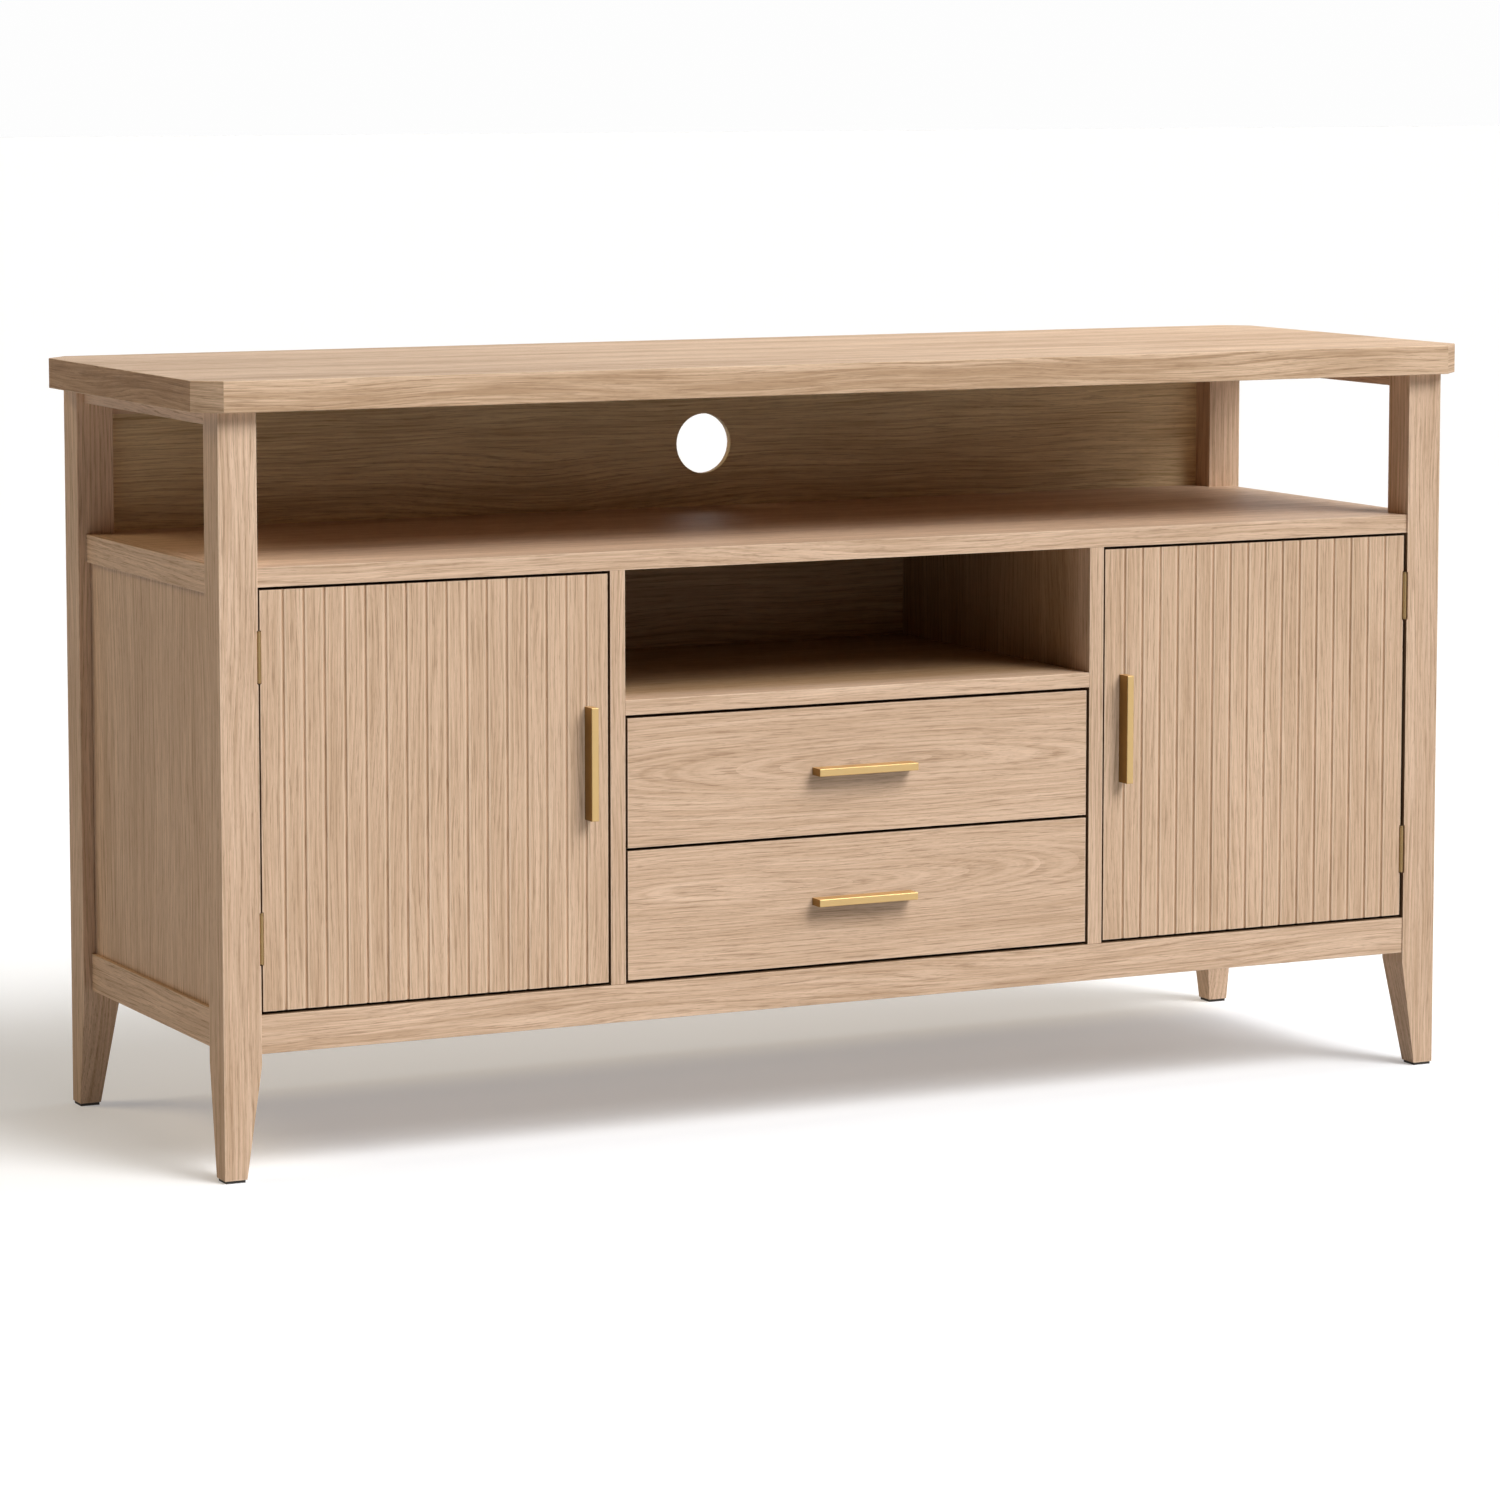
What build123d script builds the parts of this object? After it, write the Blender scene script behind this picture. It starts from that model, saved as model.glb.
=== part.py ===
from build123d import *
import os

# Media cabinet on four tapered posts. Millimetres, +Z up.
# Origin: centre of the footprint on the floor. The front faces -Y.

# ---------------------------------------------------------------- driving dimensions
overall_width = 1500
overall_depth = 483
overall_height = 813

top_thickness = 32
top_corner_clip = 26
top_edge_round = 1.0
top_side_overhang = 25
top_front_overhang = 16

post_width = 41
foot_width = 24
taper_drop = 11            # the posts start to taper this far below the bottom rails
glide_height = 3
glide_inset = 1.5          # glide's edge behind the foot's edge

rail_thickness = 20
side_rail_inset = 9        # side rails behind the posts' outer faces
bottom_rail_low = 130
bottom_rail_high = 170
mid_rail_height = 30
top_rail_height = 16
rear_top_rail_height = 30

shelf_top = 624
shelf_thickness = 20
bottom_panel_thickness = 16
divider_half_gap = 277.5   # cabinet centre to a divider's inner face
divider_thickness = 17
centre_shelf_low = 452
centre_shelf_thickness = 16
side_panel_thickness = 12
side_panel_setback = 5     # side panel behind the side rails' outer faces
upper_back_thickness = 9
upper_back_inset = 1       # upper back panel in front of the posts' rear faces
lower_back_thickness = 5
lower_back_front = 208.5
cable_hole_radius = 34
cable_hole_x = 33
cable_hole_z = 695

front_rail_recess = 1      # behind the posts' front faces
edge_recess = 2            # shelf, dividers and centre shelf
leaf_recess = 3            # doors and drawer fronts

door_gap = 3
door_thickness = 19
groove_count = 16
groove_pitch = 22.3
groove_mouth = 3.8
groove_floor = 0.8
groove_depth = 1.8

drawer_gap = 3.2
drawer_front_thickness = 18
drawer_side_thickness = 12
drawer_side_height = 100
drawer_side_lift = 17      # drawer side above the drawer front's lower edge
drawer_box_length = 400
drawer_bottom_thickness = 6
drawer_bottom_lift = 10    # drawer bottom above the side's lower edge

pull_length = 118
pull_width = 8
pull_projection = 18
pull_arris = 0.5
pull_screw_spacing = 96
door_pull_x = 319.5
door_pull_z = 405

hinge_length = 50
hinge_heights = (247.5, 533.5)
hinge_axis_setback = 2.9   # pin's axis behind the posts' front faces
knuckle_radius = 2.3
hinge_pin_radius = 1.2
hinge_leaf_thickness = 1.2
hinge_leaf_width = 17
knuckle_count = 5
knuckle_gap = 0.2
pin_cap_height = 1.2
pin_cap_chamfer = 0.4
hinge_leaf_split = 0.3     # half the gap between the two closed leaves
hinge_plate_setback = 2.7  # the flat plate starts this far behind the pin's axis
hinge_strap_setback = 1.6  # the straps from plate to knuckle start this far behind it
hinge_screw_setback = 10.5
hinge_screw_pitch = 17
hinge_side_room = 0.5      # room round the knuckles in the post and the door
hinge_end_room = 0.8       # room beyond the pin's caps

catch_x = (303, 343)
catch_depth = 15
catch_height = 12
catch_gap = 0.3
catch_screw_spacing = 28
catch_screw_setback = 9
catch_plate_inset = 3
catch_plate_thickness = 0.8
catch_plate_z = (590, 600.5)

slide_width = 12.7
slide_height = 45
slide_metal = 1.3
slide_length = 395
slide_front_gap = 2
slide_nesting = 2.6        # each inner member is lower than the one round it, on each side
slide_web = {"cabinet": 0, "middle": 5, "drawer": slide_width - slide_metal}
slide_flange = {"cabinet": (0, 11), "middle": (2, 10.6), "drawer": (7, slide_width)}
slide_screw_ends = (35, 120)   # cabinet screws from the slide's front and rear ends
slide_screw_shift = 20         # drawer screws behind the cabinet screws

# ---------------------------------------------------------------- joints between pieces
tenon_length = 15
tenon_thickness = 8
tenon_shoulder = 7         # rail's edge to the tenon's edge
thin_shoulder = 3          # the same on the thin top side rails
tongue = 5                 # depth of a tongue and its groove
shelf_tongue = (4, 12)     # tongue's faces above the board's lower face
bottom_tongue = (2, 8)
housing_depth = 4
housing_stop_front = 30    # divider housings stop this far behind the posts' front faces
housing_stop_rear = 10
centre_shelf_stop = 12     # centre shelf's housings stop this far behind its front edge
lower_back_lift = 5        # lower back panel's lower edge above the bottom rails' lower edges
short = 0.5                # a panel stops this far short of its groove's floor
slack = 0.1                # room round a tenon, tongue or screw
running_clearance = 0.05   # hinge pin in a knuckle, on the radius
overcut = 1                # a cutting tool runs this far past a face

# ---------------------------------------------------------------- screws
# each is its length, shank radius, head radius and head height
door_pull_screw = (27, 2, 3.8, 2.2)
drawer_pull_screw = (26, 2, 3.8, 2.2)
hinge_screw = (14, 1.4, 2.6, 1.2)
catch_plate_screw = (12, 1.4, 2.4, 0.8)
catch_screw = (24, 1.6, 3, 2)
cabinet_slide_screw = (14, 1.7, 3.4, 1.5)
drawer_slide_screw = (11, 1.7, 3.4, 1.5)
top_screw = (34, 2, 4, 2.2)
back_screw = (22, 1.6, 3.2, 2)
counterbore_radius = 4.5
side_counterbore = 4       # depth of the counterbores under the top side rails
rear_counterbore = 12      # the same under the rear top rail
side_top_screws = (-130, 145)
rear_top_screws = (-450, 0, 450)
upper_back_screws = (-600, -300, 0, 300, 600)
upper_back_screw_drop = 20
lower_back_screws = (230, 387, 545)

# ---------------------------------------------------------------- derived places
half_frame = overall_width / 2 - top_side_overhang
front = -overall_depth / 2 + top_front_overhang
rear = overall_depth / 2
frame_top = overall_height - top_thickness
post_in = half_frame - post_width
front_post_back = front + post_width
rear_post_face = rear - post_width
side_run = (front_post_back, rear_post_face)
rail_out = half_frame - side_rail_inset
rail_in = rail_out - rail_thickness
panel_out = rail_out - side_panel_setback
panel_in = panel_out - side_panel_thickness
shelf_low = shelf_top - shelf_thickness
mid_rail_low = shelf_top - mid_rail_height
upper_back = (rear - upper_back_inset - upper_back_thickness, rear - upper_back_inset)
lower_back = (lower_back_front, lower_back_front + lower_back_thickness)
edge_front = front + edge_recess
leaf_front = front + leaf_recess
divider_out = divider_half_gap + divider_thickness
sides = {"left": -1, "right": 1}

pieces = {}


# ---------------------------------------------------------------- helpers
def block(x, y, z, room=0):
    """Box between (low, high) pairs, given in either order, grown by room on every side."""
    (x0, x1), (y0, y1), (z0, z1) = sorted(x), sorted(y), sorted(z)
    size = (x1 - x0 + 2 * room, y1 - y0 + 2 * room, z1 - z0 + 2 * room)
    return Pos((x0 + x1) / 2, (y0 + y1) / 2, (z0 + z1) / 2) * Box(*size)


def span(centre, half):
    """The pair centre - half, centre + half."""
    return (centre - half, centre + half)


def turned(towards):
    """Rotation that aims a screw's shank, which points along -Z, another way."""
    return {
        "+X": Rot(0, -90, 0),
        "-X": Rot(0, 90, 0),
        "+Y": Rot(90, 0, 0),
        "-Y": Rot(-90, 0, 0),
        "+Z": Rot(180, 0, 0),
    }[towards]


def rod(radius, length, place, towards):
    """Cylinder that starts at place and runs the given way."""
    return Pos(*place) * turned(towards) * Pos(0, 0, -length / 2) * Cylinder(radius, length)


def add(name, shape):
    """Put a shape in a node, as one more separate solid if the node has some already."""
    pieces.setdefault(name, []).extend(shape.solids())


def cut(name, tool):
    """Take a tool away from every solid of a node that it meets."""
    carved = []
    for solid in pieces[name]:
        carved.extend((solid - tool).solids())
    pieces[name] = carved


def flat_screw(length, shank, head, head_height, room=0):
    """Countersunk screw: flat head face at the origin, shank along -Z."""
    cone = Cone(shank + room, head + room, head_height)
    body = Cylinder(shank + room, length + room)
    return Pos(0, 0, -head_height / 2) * cone + Pos(0, 0, -(length + room) / 2) * body


def pan_screw(length, shank, head, head_height, room=0):
    """Pan-head screw: the head stands on the origin plane, shank along -Z."""
    cap = Cylinder(head + room, head_height + room)
    body = Cylinder(shank + room, length + room)
    return Pos(0, 0, (head_height + room) / 2) * cap + Pos(0, 0, -(length + room) / 2) * body


def drive(group, screw, sizes, place, towards, through):
    """Add a screw to its group and open a hole for it in each node it passes through."""
    spot = Pos(*place) * turned(towards)
    add(group, spot * screw(*sizes))
    for name in through:
        cut(name, spot * screw(*sizes, room=slack))


# ---------------------------------------------------------------- posts and feet
def post(side, is_front):
    """Square post whose two inner faces taper to the foot."""
    taper_top = bottom_rail_low - taper_drop
    outline = [
        (0, glide_height),
        (foot_width, glide_height),
        (post_width, taper_top),
        (post_width, frame_top),
        (0, frame_top),
    ]
    across = make_face(Plane.XZ * Polyline(*outline, close=True))
    along = make_face(Plane.YZ * Polyline(*outline, close=True))
    corner = extrude(across, -post_width) & extrude(along, post_width)
    if side > 0:
        corner = mirror(corner, Plane.YZ)
    if not is_front:
        corner = mirror(corner, Plane.XZ)
    return Pos(side * half_frame, front if is_front else rear, 0) * corner


def make_posts():
    for side_name, side in sides.items():
        add(f"front_{side_name}_leg", post(side, True))
        add(f"rear_{side_name}_leg", post(side, False))
        for edge, inward in ((front, 1), (rear, -1)):
            x = (side * (half_frame - glide_inset), side * (half_frame - foot_width + glide_inset))
            y = (edge + inward * glide_inset, edge + inward * (foot_width - glide_inset))
            add("foot_glides", block(x, y, (0, glide_height)))


# ---------------------------------------------------------------- rails
def side_tenons(side, z, room=0):
    """The two end tenons of a side rail."""
    x = span(side * (rail_in + rail_out) / 2, tenon_thickness / 2)
    ends = [(front_post_back, front_post_back - tenon_length)]
    ends.append((rear_post_face, rear_post_face + tenon_length))
    return [block(x, y, z, room) for y in ends]


def make_side_rails():
    for side_name, side in sides.items():
        for level, low, high, shoulder in (
            ("top", frame_top - top_rail_height, frame_top, thin_shoulder),
            ("mid", mid_rail_low, shelf_top, tenon_shoulder),
            ("bottom", bottom_rail_low, bottom_rail_high, tenon_shoulder),
        ):
            rail = block((side * rail_in, side * rail_out), side_run, (low, high))
            tenon_z = (low + shoulder, high - shoulder)
            for tenon in side_tenons(side, tenon_z):
                rail += tenon
            add(f"{side_name}_{level}_side_rail", rail)
            fronts, rears = side_tenons(side, tenon_z, slack)
            cut(f"front_{side_name}_leg", fronts)
            cut(f"rear_{side_name}_leg", rears)


def make_cross_rail(name, y, z, legs):
    """Rail between two posts, tenoned into both."""
    rail = block((-post_in, post_in), y, z)
    tenon_y = span((y[0] + y[1]) / 2, tenon_thickness / 2)
    tenon_z = (z[0] + tenon_shoulder, z[1] - tenon_shoulder)
    for side_name, side in sides.items():
        size = ((side * post_in, side * (post_in + tenon_length)), tenon_y, tenon_z)
        rail += block(*size)
        cut(f"{legs}_{side_name}_leg", block(*size, room=slack))
    add(name, rail)


def make_cross_rails():
    bottom = (bottom_rail_low, bottom_rail_high)
    front_y = front + front_rail_recess
    make_cross_rail("front_bottom_rail", (front_y, front_y + rail_thickness), bottom, "front")
    rear_y = lower_back[1]
    make_cross_rail("rear_bottom_rail", (rear_y, rear_y + rail_thickness), bottom, "rear")
    top = (frame_top - rear_top_rail_height, frame_top)
    make_cross_rail("rear_top_rail", (upper_back[0] - rail_thickness, upper_back[0]), top, "rear")


# ---------------------------------------------------------------- top and panels
def make_top():
    slab = block(span(0, overall_width / 2), span(0, overall_depth / 2), (frame_top, overall_height))
    slab = chamfer(slab.edges().filter_by(Axis.Z), top_corner_clip)
    slab = fillet(slab.edges(), top_edge_round)
    add("top_slab", slab)


def make_side_panels():
    """Panels held in grooves in the posts and the side rails."""
    reach = tongue - short
    for side_name, side in sides.items():
        x = (side * panel_in, side * panel_out)
        y = (front_post_back - reach, rear_post_face + reach)
        z = (bottom_rail_high - reach, mid_rail_low + reach)
        add(f"{side_name}_side_panel", block(x, y, z))
        y = (front_post_back - tongue, rear_post_face + tongue)
        z = (bottom_rail_high - tongue, mid_rail_low + tongue)
        groove = block((side * (panel_in - slack), side * (panel_out + slack)), y, z)
        for name in ("mid_side_rail", "bottom_side_rail"):
            cut(f"{side_name}_{name}", groove)
        for end in ("front", "rear"):
            cut(f"{end}_{side_name}_leg", groove)


def deck(front_edge, rear_edge, z, tongue_faces):
    """Full-width board notched round the posts, tongued into the side rails."""
    tongue_z = (z[0] + tongue_faces[0], z[0] + tongue_faces[1])
    board = block((-post_in, post_in), (front_edge, rear_edge), z)
    board += block((-rail_in, rail_in), side_run, z)
    for side_name, side in sides.items():
        size = ((side * rail_in, side * (rail_in + tongue)), side_run, tongue_z)
        board += block(*size)
        level = "mid" if z[1] == shelf_top else "bottom"
        cut(f"{side_name}_{level}_side_rail", block(*size, room=slack))
    return board


def make_decks():
    shelf = deck(edge_front, upper_back[1], (shelf_low, shelf_top), shelf_tongue)
    rebate_z = (shelf_top - housing_depth, shelf_top + overcut)
    rebate = block((-post_in, post_in), upper_back, rebate_z)
    groove_y = (lower_back[0] - slack, lower_back[1] + slack)
    groove_z = (shelf_low - overcut, shelf_low + housing_depth)
    back_groove = block((-post_in, post_in), groove_y, groove_z)
    add("main_shelf", shelf - rebate - back_groove)
    low = bottom_rail_high - bottom_panel_thickness
    front_edge = front + front_rail_recess + rail_thickness
    z = (low, bottom_rail_high)
    add("bottom_panel", deck(front_edge, lower_back[0], z, bottom_tongue))


def make_centre_bay():
    """Two dividers housed in the decks, and a fixed shelf housed in the dividers."""
    y = (front + housing_stop_front, lower_back[0] - housing_stop_rear)
    for side_name, side in sides.items():
        x = (side * divider_half_gap, side * divider_out)
        divider = block(x, (edge_front, lower_back[0]), (bottom_rail_high, shelf_low))
        upper = (x, y, (shelf_low, shelf_low + housing_depth))
        lower = (x, y, (bottom_rail_high - housing_depth, bottom_rail_high))
        divider += block(*upper)
        divider += block(*lower)
        cut("main_shelf", block(*upper, room=slack))
        cut("bottom_panel", block(*lower, room=slack))
        add(f"{side_name}_divider", divider)
    z = (centre_shelf_low, centre_shelf_low + centre_shelf_thickness)
    housed_half = divider_half_gap + housing_depth
    housed_y = (edge_front + centre_shelf_stop, lower_back[0])
    shelf = block(span(0, divider_half_gap), (edge_front, lower_back[0]), z)
    shelf += block(span(0, housed_half), housed_y, z)
    for side_name in sides:
        cut(f"{side_name}_divider", block(span(0, housed_half + slack), housed_y, z))
    add("centre_shelf", shelf)


def make_backs():
    upper = block((-post_in, post_in), upper_back, (shelf_top - housing_depth, frame_top))
    start = (cable_hole_x, upper_back[0] - overcut, cable_hole_z)
    hole = rod(cable_hole_radius, upper_back_thickness + 2 * overcut, start, "+Y")
    add("upper_back_panel", upper - hole)
    lower_z = (bottom_rail_low + lower_back_lift, shelf_low + housing_depth - short)
    add("lower_back_panel", block((-post_in, post_in), lower_back, lower_z))


# ---------------------------------------------------------------- adjustable shelves
inner_shelf_z = (380, 396)
inner_shelf_y = (-176, 196)
inner_shelf_gap = 1        # shelf's ends clear of the divider and the side panel
pin_radius = 2.5
pin_reach = 8              # into the wall, and the same again under the shelf
pin_hole_depth = 8.5
pin_rows = (-140, 160)
pin_pitch = 32
pin_steps = range(-3, 4)


def make_inner_shelves():
    """One adjustable shelf behind each door, on four pins in drilled rows."""
    pin_z = inner_shelf_z[0] - pin_radius
    for side_name, side in sides.items():
        x = (side * (divider_out + inner_shelf_gap), side * (panel_in - inner_shelf_gap))
        add(f"{side_name}_inner_shelf", block(x, inner_shelf_y, inner_shelf_z))
        for y in pin_rows:
            walls = ((divider_out, -1, "divider"), (panel_in, 1, "side_panel"))
            for face, outward, wall in walls:
                towards = "+X" if side * outward > 0 else "-X"
                start = side * (face - outward * pin_reach)
                add("shelf_pins", rod(pin_radius, 2 * pin_reach, (start, y, pin_z), towards))
                for step in pin_steps:
                    mouth = (side * (face - outward * overcut), y, pin_z + step * pin_pitch)
                    hole = rod(pin_radius + slack, pin_hole_depth + overcut, mouth, towards)
                    cut(f"{side_name}_{wall}", hole)


# ---------------------------------------------------------------- doors
door_edge = post_in - door_gap
door_free_edge = divider_out + door_gap - 0.5
door_z = (bottom_rail_high + door_gap, shelf_low - door_gap)
door_back = leaf_front + door_thickness
hinge_x = post_in - door_gap / 2
hinge_y = front + hinge_axis_setback


def groove_tool(x):
    """Prism of one flute, as a tapered slot in the door's face."""
    floor_y = leaf_front + groove_depth
    outline = [
        (x - groove_mouth / 2, leaf_front),
        (x + groove_mouth / 2, leaf_front),
        (x + groove_floor / 2, floor_y),
        (x - groove_floor / 2, floor_y),
    ]
    face = make_face(Polyline(*outline, close=True))
    return Pos(0, 0, door_z[0] - overcut) * extrude(face, door_z[1] - door_z[0] + 2 * overcut)


def make_doors():
    for side_name, side in sides.items():
        panel = block((side * door_free_edge, side * door_edge), (leaf_front, door_back), door_z)
        middle = side * (door_free_edge + door_edge) / 2
        first = middle - groove_pitch * (groove_count - 1) / 2
        panel -= [groove_tool(first + groove_pitch * number) for number in range(groove_count)]
        add(f"{side_name}_door_panel", panel)


def bar(x, y, z, long_axis):
    """Square-cornered pull with small arrises, seated on the face at y."""
    half = (pull_length / 2, pull_width / 2)
    if long_axis == "Z":
        half = half[::-1]
    grip = block(span(x, half[0]), (y - pull_projection, y), span(z, half[1]))
    return chamfer(grip.edges().group_by(Axis.Y)[0], pull_arris)


def make_door_pulls():
    for side_name, side in sides.items():
        x = side * door_pull_x
        add(f"{side_name}_door_pull", bar(x, leaf_front, door_pull_z, "Z"))
        hit = (f"{side_name}_door_panel", f"{side_name}_door_pull")
        group = f"{side_name}_door_screws"
        for z in span(door_pull_z, pull_screw_spacing / 2):
            drive(group, pan_screw, door_pull_screw, (x, door_back, z), "-Y", hit)


# ---------------------------------------------------------------- butt hinges
def knuckle(side, z_mid, number):
    """One of the hinge's barrels, numbered from the bottom."""
    pitch = hinge_length / knuckle_count
    low = z_mid - hinge_length / 2 + number * pitch + knuckle_gap / 2
    barrel = rod(knuckle_radius, pitch - knuckle_gap, (side * hinge_x, hinge_y, low), "+Z")
    return barrel, (low, low + pitch - knuckle_gap)


def hinge_leaf(side, z_mid, outward, numbers):
    """Leaf on the post's side (outward 1) or the door's side (outward -1) of the pin."""
    near = hinge_x + outward * hinge_leaf_split
    x = (side * near, side * (near + outward * hinge_leaf_thickness))
    plate_y = (hinge_y + hinge_plate_setback, hinge_y + hinge_leaf_width)
    leaf = block(x, plate_y, span(z_mid, hinge_length / 2))
    for number in numbers:
        barrel, z = knuckle(side, z_mid, number)
        leaf += barrel
        leaf += block(x, (hinge_y + hinge_strap_setback, plate_y[1]), z)
    bore_start = (side * hinge_x, hinge_y, z_mid - hinge_length)
    return leaf - rod(hinge_pin_radius + running_clearance, 2 * hinge_length, bore_start, "+Z")


def hinge_pin(side, z_mid):
    """Pin with a cap beyond each end of the barrel."""
    low = z_mid - hinge_length / 2
    pin = rod(hinge_pin_radius, hinge_length, (side * hinge_x, hinge_y, low), "+Z")
    for start in (low - pin_cap_height, low + hinge_length):
        cap = rod(knuckle_radius, pin_cap_height, (side * hinge_x, hinge_y, start), "+Z")
        pin += chamfer(cap.edges(), pin_cap_chamfer)
    return pin


def make_hinges():
    screw_y = hinge_y + hinge_screw_setback
    room = knuckle_radius + hinge_side_room
    for side_name, side in sides.items():
        door = f"{side_name}_door"
        leg = f"front_{side_name}_leg"
        out, home = ("+X", "-X") if side > 0 else ("-X", "+X")
        leaves = (f"{door}_hinge_leaves", f"{door}_panel")
        for z_mid in hinge_heights:
            add("frame_hinges", hinge_leaf(side, z_mid, 1, (0, 2, 4)))
            add("frame_hinges", hinge_pin(side, z_mid))
            add(f"{door}_hinge_leaves", hinge_leaf(side, z_mid, -1, (1, 3)))
            relief_z = span(z_mid, hinge_length / 2 + pin_cap_height + hinge_end_room)
            relief_x = (side * (post_in - overcut), side * (hinge_x + room))
            cut(leg, block(relief_x, (front - overcut, hinge_y + room), relief_z))
            start = (side * hinge_x, hinge_y, relief_z[0])
            cut(f"{door}_panel", rod(room, relief_z[1] - relief_z[0], start, "+Z"))
            for z in (z_mid - hinge_screw_pitch, z_mid, z_mid + hinge_screw_pitch):
                spot = (side * (hinge_x + hinge_leaf_split), screw_y, z)
                hit = ("frame_hinges", leg)
                drive("frame_hinge_screws", flat_screw, hinge_screw, spot, out, hit)
                spot = (side * (hinge_x - hinge_leaf_split), screw_y, z)
                drive(f"{door}_screws", flat_screw, hinge_screw, spot, home, leaves)


# ---------------------------------------------------------------- magnetic catches
def make_catches():
    """Catch under the main shelf, and the plate that meets it on the door's back."""
    plate_face = door_back + catch_plate_thickness
    y = plate_face + catch_gap
    low = shelf_low - catch_height
    for side_name, side in sides.items():
        plate_x = (side * (catch_x[0] + catch_plate_inset), side * (catch_x[1] - catch_plate_inset))
        plate = block(plate_x, (door_back, plate_face), catch_plate_z)
        add(f"{side_name}_catch_plate", plate)
        middle = side * (catch_x[0] + catch_x[1]) / 2
        spot = (middle, plate_face, (catch_plate_z[0] + catch_plate_z[1]) / 2)
        hit = (f"{side_name}_catch_plate", f"{side_name}_door_panel")
        drive(f"{side_name}_door_screws", flat_screw, catch_plate_screw, spot, "-Y", hit)
        body_x = (side * catch_x[0], side * catch_x[1])
        add("door_catches", block(body_x, (y, y + catch_depth), (low, shelf_low)))
        for x in span(middle, catch_screw_spacing / 2):
            spot = (x, y + catch_screw_setback, low)
            hit = ("door_catches", "main_shelf")
            drive("carcass_screws", flat_screw, catch_screw, spot, "+Z", hit)


# ---------------------------------------------------------------- drawers
bay_height = centre_shelf_low - bottom_rail_high
drawer_front_height = (bay_height - 3 * drawer_gap) / 2
drawer_low = {
    "lower": bottom_rail_high + drawer_gap,
    "upper": bottom_rail_high + 2 * drawer_gap + drawer_front_height,
}
drawer_front_back = leaf_front + drawer_front_thickness
drawer_half = divider_half_gap - slide_width
drawer_inner = drawer_half - drawer_side_thickness
front_groove = 6


def make_drawer(level):
    low = drawer_low[level]
    side_low = low + drawer_side_lift
    side_z = (side_low, side_low + drawer_side_height)
    box_rear = drawer_front_back + drawer_box_length
    bottom_low = side_low + drawer_bottom_lift
    bottom_z = (bottom_low, bottom_low + drawer_bottom_thickness)
    face_x = span(0, divider_half_gap - door_gap)
    face = block(face_x, (leaf_front, drawer_front_back), (low, low + drawer_front_height))
    name = f"{level}_drawer"
    add(f"{name}_front", face)

    sheet_x = span(0, drawer_inner + tongue)
    sheet_front = drawer_front_back - tongue
    sheet = block(sheet_x, (sheet_front, box_rear), bottom_z)
    room = block(sheet_x, (sheet_front, box_rear + overcut), bottom_z, slack)
    add(f"{name}_bottom", sheet)
    cut(f"{name}_front", room)
    for side_name, side in sides.items():
        x = (side * drawer_inner, side * drawer_half)
        y = (drawer_front_back - front_groove, box_rear)
        add(f"{name}_{side_name}_side", block(x, y, side_z) - room)
        cut(f"{name}_front", block(x, y, side_z, slack))
    back_y = (box_rear - drawer_side_thickness, box_rear)
    add(f"{name}_back", block(span(0, drawer_inner), back_y, (bottom_z[1] + slack, side_z[1])))

    middle = low + drawer_front_height / 2
    add(f"{name}_pull", bar(0, leaf_front, middle, "X"))
    hit = (f"{name}_front", f"{name}_pull")
    for x in span(0, pull_screw_spacing / 2):
        spot = (x, drawer_front_back, middle)
        drive(f"{name}_screws", pan_screw, drawer_pull_screw, spot, "-Y", hit)
    make_slides(level, side_low + drawer_side_height / 2)


# ---------------------------------------------------------------- drawer slides
def channel(side, member, half_height, y, z_mid):
    """Folded strip: an upright web and two level flanges, measured in from the divider."""
    def place(reach):
        return tuple(side * (divider_half_gap - value) for value in reach)

    web = (slide_web[member], slide_web[member] + slide_metal)
    strip = block(place(web), y, span(z_mid, half_height))
    for edge in (-1, 1):
        outer = z_mid + edge * half_height
        strip += block(place(slide_flange[member]), y, (outer, outer - edge * slide_metal))
    return strip


def make_slides(level, z_mid):
    """Three telescoping members on each side of one drawer."""
    slide_front = drawer_front_back + slide_front_gap
    y = (slide_front, slide_front + slide_length)
    half = slide_height / 2
    for side_name, side in sides.items():
        drawer_members = f"{level}_drawer_slide_members"
        add("slide_cabinet_members", channel(side, "cabinet", half, y, z_mid))
        middle = channel(side, "middle", half - slide_nesting, y, z_mid)
        add(f"{level}_slide_middle_members", middle)
        add(drawer_members, channel(side, "drawer", half - 2 * slide_nesting, y, z_mid))
        out, home = ("+X", "-X") if side > 0 else ("-X", "+X")
        for screw_y in (y[0] + slide_screw_ends[0], y[1] - slide_screw_ends[1]):
            spot = (side * (divider_half_gap - slide_metal), screw_y, z_mid)
            hit = ("slide_cabinet_members", f"{side_name}_divider")
            drive("carcass_screws", pan_screw, cabinet_slide_screw, spot, out, hit)
            spot = (side * (drawer_half + slide_metal), screw_y + slide_screw_shift, z_mid)
            hit = (drawer_members, f"{level}_drawer_{side_name}_side")
            drive(f"{level}_drawer_screws", pan_screw, drawer_slide_screw, spot, home, hit)


# ---------------------------------------------------------------- carcass screws
def drive_up(rail, depth, place):
    """Screw up through a rail into the top, its head in a counterbore of the given depth."""
    x, y, low = place
    cut(rail, rod(counterbore_radius, depth, place, "+Z"))
    drive("carcass_screws", pan_screw, top_screw, (x, y, low + depth), "+Z", (rail, "top_slab"))


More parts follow.
